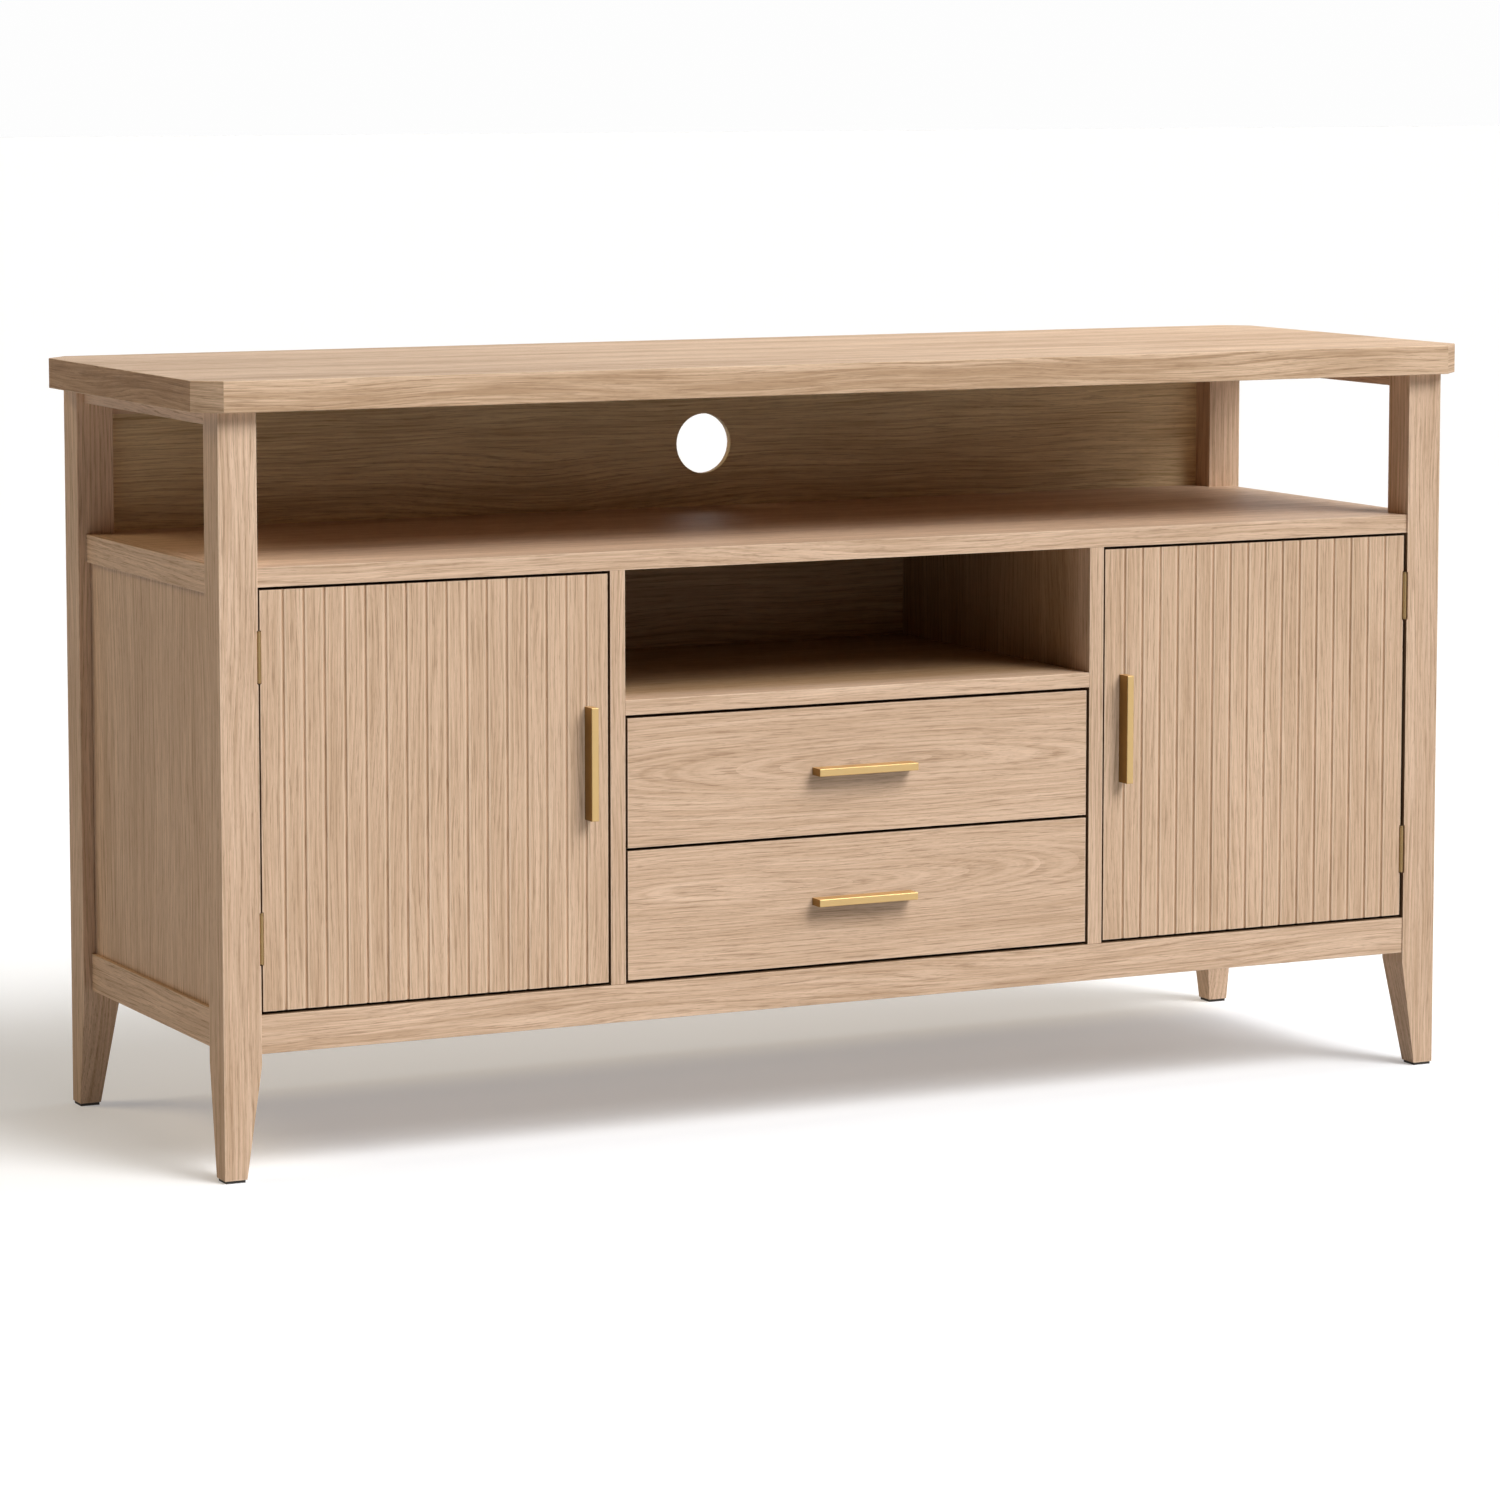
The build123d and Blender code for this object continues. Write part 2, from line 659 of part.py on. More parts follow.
def make_carcass_screws():
    """Screws that hold the top to its rails and the two back panels to the carcass."""
    for side_name, side in sides.items():
        for y in side_top_screws:
            place = (side * (rail_in + rail_out) / 2, y, frame_top - top_rail_height)
            drive_up(f"{side_name}_top_side_rail", side_counterbore, place)
    for x in rear_top_screws:
        place = (x, upper_back[0] - rail_thickness / 2, frame_top - rear_top_rail_height)
        drive_up("rear_top_rail", rear_counterbore, place)
    hit = ("upper_back_panel", "rear_top_rail")
    for x in upper_back_screws:
        spot = (x, upper_back[1], frame_top - upper_back_screw_drop)
        drive("carcass_screws", flat_screw, back_screw, spot, "-Y", hit)
    for side_name, side in sides.items():
        x = side * (divider_half_gap + divider_out) / 2
        hit = ("lower_back_panel", f"{side_name}_divider")
        for z in lower_back_screws:
            drive("carcass_screws", flat_screw, back_screw, (x, lower_back[1], z), "-Y", hit)


# ---------------------------------------------------------------- build and write
make_posts()
make_side_rails()
make_cross_rails()
make_top()
make_side_panels()
make_decks()
make_centre_bay()
make_backs()
make_inner_shelves()
make_doors()
make_door_pulls()
make_hinges()
make_catches()
for drawer_level in drawer_low:
    make_drawer(drawer_level)
make_carcass_screws()

os.makedirs("parts", exist_ok=True)
for node, solids in pieces.items():
    shape = solids[0] if len(solids) == 1 else Compound(solids)
    export_step(shape, f"parts/{node}.step")
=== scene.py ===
import math
import random

import bmesh
import bpy
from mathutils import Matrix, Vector


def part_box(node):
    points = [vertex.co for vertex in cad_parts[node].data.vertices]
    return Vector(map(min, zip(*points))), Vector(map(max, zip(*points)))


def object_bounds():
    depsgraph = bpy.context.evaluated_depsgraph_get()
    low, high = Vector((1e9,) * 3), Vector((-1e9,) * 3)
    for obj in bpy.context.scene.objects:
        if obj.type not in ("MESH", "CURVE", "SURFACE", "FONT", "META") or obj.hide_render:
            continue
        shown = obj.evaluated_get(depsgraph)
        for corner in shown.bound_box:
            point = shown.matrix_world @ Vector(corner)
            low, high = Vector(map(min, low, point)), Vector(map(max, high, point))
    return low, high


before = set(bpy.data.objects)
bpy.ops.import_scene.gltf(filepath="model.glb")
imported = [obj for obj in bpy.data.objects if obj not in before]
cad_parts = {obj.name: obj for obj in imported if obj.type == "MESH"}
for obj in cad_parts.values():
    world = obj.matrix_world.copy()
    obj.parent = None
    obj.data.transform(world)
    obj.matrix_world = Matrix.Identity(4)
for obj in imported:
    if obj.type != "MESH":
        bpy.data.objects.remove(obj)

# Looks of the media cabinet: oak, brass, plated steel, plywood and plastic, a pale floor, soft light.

CAD_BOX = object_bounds()
MM = 0.001
SEED = 7

# ---------------------------------------------------------------- which node is made of what

OAK_ALONG_X = (
    "top_slab", "front_bottom_rail", "rear_bottom_rail", "rear_top_rail", "main_shelf", "bottom_panel",
    "centre_shelf", "upper_back_panel", "lower_back_panel", "left_inner_shelf", "right_inner_shelf",
    "upper_drawer_front", "lower_drawer_front",
)
OAK_ALONG_Y = (
    "left_top_side_rail", "right_top_side_rail", "left_mid_side_rail", "right_mid_side_rail",
    "left_bottom_side_rail", "right_bottom_side_rail",
)
OAK_ALONG_Z = (
    "front_left_leg", "front_right_leg", "rear_left_leg", "rear_right_leg", "left_side_panel",
    "right_side_panel", "left_divider", "right_divider", "left_door_panel", "right_door_panel",
)
PLY = tuple(f"{drawer}_drawer_{part}" for drawer in ("upper", "lower")
            for part in ("left_side", "right_side", "back", "bottom"))
PULLS = ("left_door_pull", "right_door_pull", "upper_drawer_pull", "lower_drawer_pull")
HINGES = ("frame_hinges", "left_door_hinge_leaves", "right_door_hinge_leaves", "frame_hinge_screws",
          "left_door_screws", "right_door_screws")
SLIDES = ("slide_cabinet_members", "upper_slide_middle_members", "lower_slide_middle_members",
          "upper_drawer_slide_members", "lower_drawer_slide_members")
ZINC = ("carcass_screws", "shelf_pins", "upper_drawer_screws", "lower_drawer_screws",
        "left_catch_plate", "right_catch_plate")
PLASTIC = ("foot_glides", "door_catches")

# ---------------------------------------------------------------- shader helpers


class Graph:
    """Adds shader nodes to one tree and links them."""

    def __init__(self, tree):
        self.tree = tree

    def add(self, kind, inputs=(), output=0, **settings):
        made = self.tree.nodes.new("ShaderNode" + kind)
        for key, value in settings.items():
            setattr(made, key, value)
        for key, value in dict(inputs).items():
            if isinstance(value, bpy.types.NodeSocket):
                self.tree.links.new(value, made.inputs[key])
            else:
                made.inputs[key].default_value = value
        return made.outputs[output]

    def math(self, operation, *values, clamp=False):
        return self.add("Math", enumerate(values), operation=operation, use_clamp=clamp)

    def vector(self, operation, *values):
        return self.add("VectorMath", enumerate(values), operation=operation)

    def split(self, vector):
        made = self.tree.nodes.new("ShaderNodeSeparateXYZ")
        self.tree.links.new(vector, made.inputs[0])
        return made.outputs

    def join(self, x, y, z):
        return self.add("CombineXYZ", enumerate((x, y, z)))

    def noise(self, place, detail=2.0, rough=0.5, size=(1.0, 1.0, 1.0)):
        """Noise from 0 to 1 whose features measure size along the axes of place."""
        scaled = self.vector("MULTIPLY", place, tuple(1.0 / s for s in size))
        return self.add("TexNoise", {"Vector": scaled, "Scale": 1.0, "Detail": detail, "Roughness": rough})

    def smooth(self, value, low, high, to_low=0.0, to_high=1.0):
        """Value eased from to_low at low to to_high at high."""
        inputs = {"Value": value, "From Min": low, "From Max": high, "To Min": to_low, "To Max": to_high}
        return self.add("MapRange", inputs, interpolation_type="SMOOTHSTEP")

    def mix(self, factor, a, b, blend="MIX"):
        made = self.tree.nodes.new("ShaderNodeMix")
        made.data_type = "RGBA"
        made.blend_type = blend
        for index, value in ((0, factor), (6, a), (7, b)):
            if isinstance(value, bpy.types.NodeSocket):
                self.tree.links.new(value, made.inputs[index])
            elif index:
                made.inputs[index].default_value = (*value, 1.0)
            else:
                made.inputs[index].default_value = value
        return made.outputs[2]


def new_group(name, inputs, outputs):
    tree = bpy.data.node_groups.new(name, "ShaderNodeTree")
    for direction, sockets in (("INPUT", inputs), ("OUTPUT", outputs)):
        for socket, kind in sockets:
            tree.interface.new_socket(socket, in_out=direction, socket_type="NodeSocket" + kind)
    graph = Graph(tree)
    start = tree.nodes.new("NodeGroupInput")
    end = tree.nodes.new("NodeGroupOutput")
    return graph, start.outputs, end.inputs


def new_material(name):
    made = bpy.data.materials.new(name)
    made.use_nodes = True
    graph = Graph(made.node_tree)
    shader = made.node_tree.nodes["Principled BSDF"]
    return made, graph, shader


def use_group(graph, group, inputs):
    made = graph.tree.nodes.new("ShaderNodeGroup")
    made.node_tree = group
    for key, value in inputs.items():
        if isinstance(value, bpy.types.NodeSocket):
            graph.tree.links.new(value, made.inputs[key])
        else:
            made.inputs[key].default_value = value
    return made.outputs


# ---------------------------------------------------------------- oak

LIGHT_OAK = (0.786, 0.570, 0.411)
DARK_OAK = (0.528, 0.350, 0.224)
PORE_OAK = (0.300, 0.175, 0.098)
# pale arris colour: wear, and partly a painted highlight on the arrises and beside the door flutes
WORN_OAK_AND_HIGHLIGHT = (0.860, 0.680, 0.510)
# tint of a board that is darker or warmer than the rest; on the back panels it is painted light and shade
# instead: painted light on the upper one in the open bay, painted shade on the lower one inside the cubby
TONES_AND_PAINTED_LIGHT = {
    "top_slab": (0.95, 0.94, 0.90),
    "upper_back_panel": (1.15, 1.28, 1.12),
    "lower_back_panel": (0.72, 0.68, 0.55),
    "left_door_panel": (0.965, 0.955, 0.935),
    "right_door_panel": (0.975, 0.965, 0.945),
}
# share of that tint, painted light and shade on a back panel, that shows on its rear face
REAR_SHARE = 0.35
# the boards round the centre cubby, with painted shade inside it
CUBBY_BOARDS = ("centre_shelf", "left_divider", "right_divider")
CUBBY_PAINTED_SHADE = (0.56, 0.51, 0.40)
# doors and drawer fronts, whose edges carry painted shade, as the wood opposite them does, so that the gaps
# read dark
FRONTS = ("left_door_panel", "right_door_panel", "upper_drawer_front", "lower_drawer_front")
FRAME = ("front_left_leg", "front_right_leg", "left_divider", "right_divider")
GAP_PAINTED_SHADE = (0.34, 0.29, 0.23)
# the slab is darker on its end faces, for end grain and partly as painted shade, and has painted shade on top
# that deepens towards its left end
END_GRAIN_AND_PAINTED_SHADE = (0.70, 0.63, 0.56)
TOP_PAINTED_SHADE = (0.83, 0.96)
# strength of the broad stripes that run along a board
STRIPES = {"top_slab": 0.9, "main_shelf": 0.3, "upper_back_panel": 0.4}
RING_TILT = math.radians(38.0)
RING_PITCH = 4.6
# how strongly a board's figure shows
CONTRAST = {"top_slab": 1.7, "upper_back_panel": 1.5, "left_door_panel": 1.0, "right_door_panel": 1.0,
            "upper_drawer_front": 0.95, "lower_drawer_front": 0.95}
# the doors' flutes, in mm
FLUTES = 16
FLUTE_PITCH = 22.3
FLUTE_HALF = 1.9


def make_wear_and_highlight_group():
    """Mask of the arrises of a box from Low to High, in mm, for wear and a painted highlight: 1 on an arris, 0
    away from it.
    """
    graph, given, result = new_group(
        "arris_wear_and_highlight", (("Place", "Vector"), ("Low", "Vector"), ("High", "Vector")), (("Mask", "Float"),))
    to_low = graph.vector("SUBTRACT", given["Place"], given["Low"])
    to_high = graph.vector("SUBTRACT", given["High"], given["Place"])
    x, y, z = graph.split(graph.vector("MINIMUM", to_low, to_high))
    nearer = graph.math("MINIMUM", x, y)
    farther = graph.math("MAXIMUM", x, y)
    second = graph.math("MAXIMUM", nearer, graph.math("MINIMUM", farther, z))
    patches = graph.noise(given["Place"], 3.0, 0.6, (14.0, 14.0, 14.0))
    reach = graph.smooth(patches, 0.35, 0.7, 0.5, 2.2)
    mask = graph.math("SUBTRACT", 1.0, graph.math("DIVIDE", second, reach), clamp=True)
    graph.tree.links.new(mask, result["Mask"])
    return graph.tree


def make_oak_group():
    """Oak figure. Place is in mm with x along the grain; Figure moves the heart of the flat-sawn rings."""
    graph, given, result = new_group(
        "oak_figure",
        (("Place", "Vector"), ("Heart", "Vector"), ("Flat Sawn", "Float"), ("Stripes", "Float"),
         ("Contrast", "Float")),
        (("Color", "Color"), ("Height", "Float"), ("Roughness", "Float")))
    place = given["Place"]
    slow = graph.noise(place, 1.0, 0.5, (430.0, 95.0, 95.0))
    quick = graph.noise(place, 2.0, 0.5, (130.0, 26.0, 26.0))
    bend = graph.math("ADD", graph.math("MULTIPLY_ADD", slow, 20.0, -10.0),
                      graph.math("MULTIPLY_ADD", quick, 2.4, -1.2))
    x, y, z = graph.split(place)
    y_bent = graph.math("ADD", y, bend)
    z_bent = graph.math("ADD", z, bend)
    across = graph.math("ADD", graph.math("MULTIPLY", y_bent, math.cos(RING_TILT)),
                        graph.math("MULTIPLY", z_bent, math.sin(RING_TILT)))
    # flat-sawn rings are long ellipses round the heart
    from_heart = graph.vector("SUBTRACT", graph.join(x, y, z_bent), given["Heart"])
    squeezed = graph.vector("MULTIPLY", from_heart, (0.075, 1.0, 1.0))
    round_heart = graph.vector("LENGTH", squeezed)
    round_heart = round_heart.node.outputs["Value"]
    rings = graph.add("Mix", {0: given["Flat Sawn"], 2: across, 3: round_heart}, data_type="FLOAT")
    ring_place = graph.join(rings, graph.math("MULTIPLY", x, 0.004), 0.0)
    # slow colour bands, thin growth lines, and the porous early wood of each ring
    bands = graph.noise(ring_place, 3.0, 0.65, (9.0, 1.0, 1.0))
    line_place = graph.join(rings, graph.math("MULTIPLY", x, 1.0 / 150.0), graph.math("MULTIPLY", y, 0.05))
    lines = graph.noise(line_place, 2.0, 0.6, (1.35, 1.0, 1.0))
    drift = graph.noise(ring_place, 1.0, 0.5, (23.0, 1.0, 1.0))
    ring = graph.math("FRACT", graph.math("MULTIPLY_ADD", rings, 1.0 / RING_PITCH,
                                          graph.math("MULTIPLY", drift, 3.0)))
    early = graph.smooth(ring, 0.0, 0.55, 1.0, 0.0)
    # pores are streaks along the grain
    streak_place = graph.join(x, y_bent, z_bent)
    long_streaks = graph.noise(streak_place, 2.0, 0.55, (42.0, 1.05, 1.05))
    short_streaks = graph.noise(streak_place, 1.0, 0.5, (11.0, 0.55, 0.55))
    fibres = graph.noise(streak_place, 2.0, 0.6, (45.0, 0.5, 0.5))
    pore_level = graph.math("MULTIPLY_ADD", early, 0.10, long_streaks)
    pores = graph.smooth(pore_level, 0.54, 0.74)
    small_level = graph.math("MULTIPLY_ADD", early, 0.06, short_streaks)
    small_pores = graph.smooth(small_level, 0.58, 0.76)
    # broad colour drift
    broad = graph.noise(place, 2.0, 0.5, (620.0, 60.0, 60.0))
    stripes = graph.noise(place, 2.0, 0.6, (900.0, 34.0, 34.0))
    stripes = graph.math("SUBTRACT", graph.smooth(stripes, 0.3, 0.7), 0.5)
    tone = graph.math("ADD", graph.math("MULTIPLY", graph.smooth(bands, 0.3, 0.7), 0.34),
                      graph.math("MULTIPLY", graph.smooth(lines, 0.30, 0.70), 0.46))
    tone = graph.math("ADD", tone, graph.math("MULTIPLY", early, 0.12))
    tone = graph.math("MULTIPLY_ADD", graph.math("SUBTRACT", tone, 0.45), given["Contrast"], 0.45)
    tone = graph.math("MULTIPLY_ADD", stripes, given["Stripes"], tone)
    tone = graph.math("ADD", tone, graph.math("MULTIPLY_ADD", broad, 0.6, -0.28), clamp=True)
    color = graph.mix(tone, LIGHT_OAK, DARK_OAK)
    shade = graph.math("MULTIPLY_ADD", fibres, 0.38, 0.81)
    color = graph.mix(1.0, color, graph.join(shade, shade, shade), "MULTIPLY")
    color = graph.mix(graph.math("MULTIPLY", pores, 0.48), color, PORE_OAK)
    color = graph.mix(graph.math("MULTIPLY", small_pores, 0.34), color, PORE_OAK)
    all_pores = graph.math("MAXIMUM", pores, graph.math("MULTIPLY", small_pores, 0.6))
    height = graph.math("SUBTRACT", graph.math("MULTIPLY", fibres, 0.25), all_pores)
    roughness = graph.math("ADD", graph.math("MULTIPLY_ADD", bands, 0.10, 0.42),
                           graph.math("MULTIPLY", all_pores, 0.22))
    for name, value in (("Color", color), ("Height", height), ("Roughness", roughness)):
        graph.tree.links.new(value, result[name])
    return graph.tree


GRAIN_ORDER = {"X": (0, 1, 2), "Y": (1, 0, 2), "Z": (2, 0, 1)}


def grain_place(graph, place, axis, offset):
    """Object place in mm with x along the grain, moved by offset so that no two boards match."""
    parts = graph.split(place)
    turned = graph.join(*(parts[i] for i in GRAIN_ORDER[axis]))
    return graph.vector("ADD", turned, offset)


def flute_highlight_mask(graph, place, low, high):
    """Mask of the painted highlight on the arrises on both sides of each flute of a door."""
    x, y, z = graph.split(place)
    turns = graph.math("MULTIPLY_ADD", x, 1.0 / FLUTE_PITCH, -(low[0] + high[0]) / 2 / FLUTE_PITCH)
    off_flute = graph.math("ABSOLUTE", graph.math("SUBTRACT", graph.math("FRACT", turns), 0.5))
    distance = graph.math("MULTIPLY", off_flute, FLUTE_PITCH)
    beside = graph.smooth(distance, FLUTE_HALF, FLUTE_HALF + 2.8, 1.0, 0.0)
    outside = graph.smooth(distance, FLUTE_HALF - 0.8, FLUTE_HALF)
    between = graph.math("LESS_THAN", graph.math("ABSOLUTE", turns), FLUTES / 2)
    on_front = graph.math("LESS_THAN", y, low[1] + 1.0)
    mask = graph.math("MULTIPLY", beside, outside)
    return graph.math("MULTIPLY", graph.math("MULTIPLY", mask, between), on_front)


def cubby_shade_mask(graph, place, low):
    """Mask of the painted shade on a board's faces that line the centre cubby, away from its front edge: 1
    there, else 0.
    """
    x, y, z = graph.split(place)
    behind = graph.smooth(y, low[1], low[1] + 70.0)
    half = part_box("left_divider")[1].x / MM
    inner = graph.math("LESS_THAN", graph.math("ABSOLUTE", x), abs(half) + 1.0)
    return graph.math("MULTIPLY", behind, inner)


def gap_shade_mask(graph, name, place, normal):
    """Mask of the painted shade on the faces that line the gaps round the doors and drawer fronts: 1 there,
    else 0.
    """
    x, y, z = graph.split(place)
    normal_x, normal_y, normal_z = graph.split(normal)
    if name in FRONTS:
        return graph.math("LESS_THAN", graph.math("ABSOLUTE", normal_y), 0.35)
    in_front = graph.math("LESS_THAN", y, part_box("left_door_panel")[1].y / MM)
    if name == "front_bottom_rail":
        return graph.math("MULTIPLY", in_front, graph.math("GREATER_THAN", normal_z, 0.5))
    low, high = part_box(name)
    inner = min(abs(low.x), abs(high.x)) / MM + 1.0
    at_inner = graph.math("LESS_THAN", graph.math("ABSOLUTE", x), inner)
    door_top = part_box("main_shelf")[0].z / MM
    drawer_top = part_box("centre_shelf")[0].z / MM
    top = door_top
    mask = graph.math("MULTIPLY", in_front, graph.math("GREATER_THAN", graph.math("ABSOLUTE", normal_x), 0.5))
    if "divider" in name:
        top = graph.math("MULTIPLY_ADD", at_inner, drawer_top - door_top, door_top)
    else:
        mask = graph.math("MULTIPLY", mask, at_inner)
    mask = graph.math("MULTIPLY", mask, graph.math("LESS_THAN", z, top))
    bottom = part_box("front_bottom_rail")[1].z / MM
    return graph.math("MULTIPLY", mask, graph.math("GREATER_THAN", z, bottom))


def oak_material(name, axis, offset, tone, heart, edged):
    """Oak with its grain along one axis. An edged board shows long grain on its end faces too."""
    made, graph, shader = new_material("oak_" + name)
    object_place = graph.add("TexCoord", output="Object")
    place = graph.vector("MULTIPLY", object_place, (1000.0,) * 3)
    low, high = (tuple(c / MM for c in corner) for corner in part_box(name))
    figure = {"Stripes": STRIPES.get(name, 0.0), "Contrast": CONTRAST.get(name, 1.15)}
    if heart:
        turned = [heart[i] + offset[k] for k, i in enumerate(GRAIN_ORDER[axis])]
        figure.update({"Heart": turned, "Flat Sawn": 1.0})
    oak = use_group(graph, OAK, {"Place": grain_place(graph, place, axis, offset), **figure})
    color, height, roughness = oak["Color"], oak["Height"], oak["Roughness"]
    if edged:
        x, y, z = graph.split(place)
        end_place = graph.vector("ADD", graph.join(graph.math("SUBTRACT", y, x), 0.0, z), offset)
        end = use_group(graph, OAK, {"Place": end_place, "Contrast": 2.0})
        normal = graph.add("TexCoord", output="Normal")
        normal_x, normal_y, normal_z = graph.split(normal)
        towards_x = graph.math("ABSOLUTE", normal_x)
        on_end = graph.math("GREATER_THAN", towards_x, 0.5)
        # end faces darker: end grain, and partly painted shade
        end_grain_and_shade = graph.mix(graph.smooth(towards_x, 0.6, 1.0), (1.0, 1.0, 1.0), END_GRAIN_AND_PAINTED_SHADE)
        color = graph.mix(on_end, color, graph.mix(1.0, end["Color"], end_grain_and_shade, "MULTIPLY"))
        # painted shade on the top, deeper towards the left end
        shade = graph.smooth(x, low[0], high[0], *TOP_PAINTED_SHADE)
        on_top = graph.math("GREATER_THAN", normal_z, 0.5)
        color = graph.mix(on_top, color, graph.mix(1.0, color, graph.join(shade, shade, shade), "MULTIPLY"))
        height = graph.add("Mix", {0: on_end, 2: height, 3: end["Height"]}, data_type="FLOAT")
    wear_and_highlight = use_group(graph, WEAR_AND_HIGHLIGHT, {"Place": place, "Low": low, "High": high})["Mask"]
    # pale arrises: wear, and partly a painted highlight
    color = graph.mix(graph.math("MULTIPLY", wear_and_highlight, 0.40), color, WORN_OAK_AND_HIGHLIGHT)
    if name.endswith("door_panel"):
        # painted highlight on the arrises beside each flute
        flute_highlight = flute_highlight_mask(graph, place, low, high)
        color = graph.mix(graph.math("MULTIPLY", flute_highlight, 0.55), color, WORN_OAK_AND_HIGHLIGHT)
    # on the back panels this tint is painted light and shade
    if tone:
        toned_and_painted_light = graph.mix(1.0, color, tone, "MULTIPLY")
        share = 1.0
        if name.endswith("back_panel"):
            on_front = graph.math("LESS_THAN", graph.split(place)[1], (low[1] + high[1]) / 2)
            share = graph.math("MAXIMUM", on_front, REAR_SHARE)
        color = graph.mix(share, color, toned_and_painted_light)
    # painted shade inside the centre cubby
    if name in CUBBY_BOARDS:
        color = graph.mix(cubby_shade_mask(graph, place, low), color, graph.mix(1.0, color, CUBBY_PAINTED_SHADE, "MULTIPLY"))
    # painted shade on the faces that line the gaps
    if name in FRONTS + FRAME + ("front_bottom_rail",):
        normal = graph.add("TexCoord", output="Normal")
        gap_shaded = graph.mix(1.0, color, GAP_PAINTED_SHADE, "MULTIPLY")
        color = graph.mix(gap_shade_mask(graph, name, place, normal), color, gap_shaded)
    normal = graph.add("Bump", {"Strength": 0.25, "Distance": 0.25 * MM, "Height": height})
    graph.tree.links.new(color, shader.inputs["Base Color"])
    graph.tree.links.new(graph.math("MULTIPLY_ADD", wear_and_highlight, 0.08, roughness), shader.inputs["Roughness"])
    graph.tree.links.new(normal, shader.inputs["Normal"])
    shader.inputs["Specular IOR Level"].default_value = 0.2
    return made


# ---------------------------------------------------------------- other materials

BRASS = ((0.92, 0.66, 0.32), (0.82, 0.56, 0.24))
HINGE_BRASS = ((0.60, 0.42, 0.20), (0.46, 0.31, 0.14))
# painted shade on the faces of the pulls that point towards -X
BRASS_LEFT_PAINTED_SHADE = (0.36, 0.31, 0.21)


def ply_material():
    """Pale birch plywood: faint long grain, and the plies as stripes on the edges."""
    made, graph, shader = new_material("birch_ply")
    object_place = graph.add("TexCoord", output="Object")
    place = graph.vector("MULTIPLY", object_place, (1000.0,) * 3)
    wave = graph.noise(place, 2.0, 0.5, (160.0, 160.0, 40.0))
    x, y, z = graph.split(place)
    fine = graph.noise(graph.join(x, y, graph.math("MULTIPLY_ADD", wave, 9.0, z)), 3.0, 0.6, (60.0, 60.0, 1.4))
    specks = graph.smooth(graph.noise(place, 1.0, 0.5, (9.0, 9.0, 0.5)), 0.64, 0.74)
    color = graph.mix(fine, (0.72, 0.57, 0.40), (0.60, 0.45, 0.29))
    color = graph.mix(graph.math("MULTIPLY", specks, 0.3), color, (0.40, 0.26, 0.15))
    height = graph.math("SUBTRACT", fine, specks)
    normal = graph.add("Bump", {"Strength": 0.15, "Distance": 0.2 * MM, "Height": height})
    graph.tree.links.new(color, shader.inputs["Base Color"])
    graph.tree.links.new(graph.math("MULTIPLY_ADD", fine, 0.15, 0.42), shader.inputs["Roughness"])
    graph.tree.links.new(normal, shader.inputs["Normal"])
    return made


def metal_material(name, light, dark, streak, roughness, strength, left_painted_shade=None):
    """Satin metal with brushing streaks of the given size in mm. The last argument is painted shade on the
    faces towards -X.
    """
    made, graph, shader = new_material(name)
    object_place = graph.add("TexCoord", output="Object")
    place = graph.vector("MULTIPLY", object_place, (1000.0,) * 3)
    brushed = graph.noise(place, 3.0, 0.6, streak)
    clouds = graph.noise(place, 2.0, 0.5, (18.0, 18.0, 18.0))
    blend = graph.math("ADD", graph.math("MULTIPLY", brushed, 0.5), graph.math("MULTIPLY", clouds, 0.5))
    color = graph.mix(blend, light, dark)
    # painted shade on the faces towards -X
    if left_painted_shade:
        normal = graph.add("TexCoord", output="Normal")
        on_left = graph.smooth(graph.split(normal)[0], -0.6, -0.9)
        color = graph.mix(on_left, color, graph.mix(1.0, color, left_painted_shade, "MULTIPLY"))
    rough = graph.math("ADD", graph.math("MULTIPLY_ADD", brushed, 0.16, roughness - 0.08),
                       graph.math("MULTIPLY_ADD", clouds, 0.10, -0.05))
    normal = graph.add("Bump", {"Strength": strength, "Distance": 0.05 * MM, "Height": brushed})
    graph.tree.links.new(color, shader.inputs["Base Color"])
    graph.tree.links.new(rough, shader.inputs["Roughness"])
    graph.tree.links.new(normal, shader.inputs["Normal"])
    shader.inputs["Metallic"].default_value = 1.0
    return made


def plastic_material():
    """Dark moulded nylon with a fine spark-eroded texture."""
    made, graph, shader = new_material("dark_nylon")
    object_place = graph.add("TexCoord", output="Object")
    place = graph.vector("MULTIPLY", object_place, (1000.0,) * 3)
    grain = graph.noise(place, 3.0, 0.6, (0.5, 0.5, 0.5))
    clouds = graph.noise(place, 2.0, 0.5, (8.0, 8.0, 8.0))
    color = graph.mix(clouds, (0.030, 0.024, 0.020), (0.050, 0.042, 0.036))
    normal = graph.add("Bump", {"Strength": 0.3, "Distance": 0.05 * MM, "Height": grain})
    graph.tree.links.new(color, shader.inputs["Base Color"])
    graph.tree.links.new(graph.math("MULTIPLY_ADD", grain, 0.2, 0.4), shader.inputs["Roughness"])
    graph.tree.links.new(normal, shader.inputs["Normal"])
    return made


# ---------------------------------------------------------------- shape


def soften(name, width, segments=2):
    """Eases the arrises of a CAD node with modifiers. Its mesh stays as it is."""
    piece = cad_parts[name]
    weld = piece.modifiers.new("weld", "WELD")
    weld.merge_threshold = 0.01 * MM
    flat = piece.modifiers.new("flat", "DECIMATE")
    flat.decimate_type = "DISSOLVE"
    flat.angle_limit = math.radians(0.5)
    bevel = piece.modifiers.new("arris", "BEVEL")
    bevel.width = width
    bevel.segments = segments
    bevel.limit_method = "ANGLE"
    bevel.angle_limit = math.radians(35.0)
    bevel.use_clamp_overlap = True
    bevel.miter_outer = "MITER_ARC"
    bevel.harden_normals = True


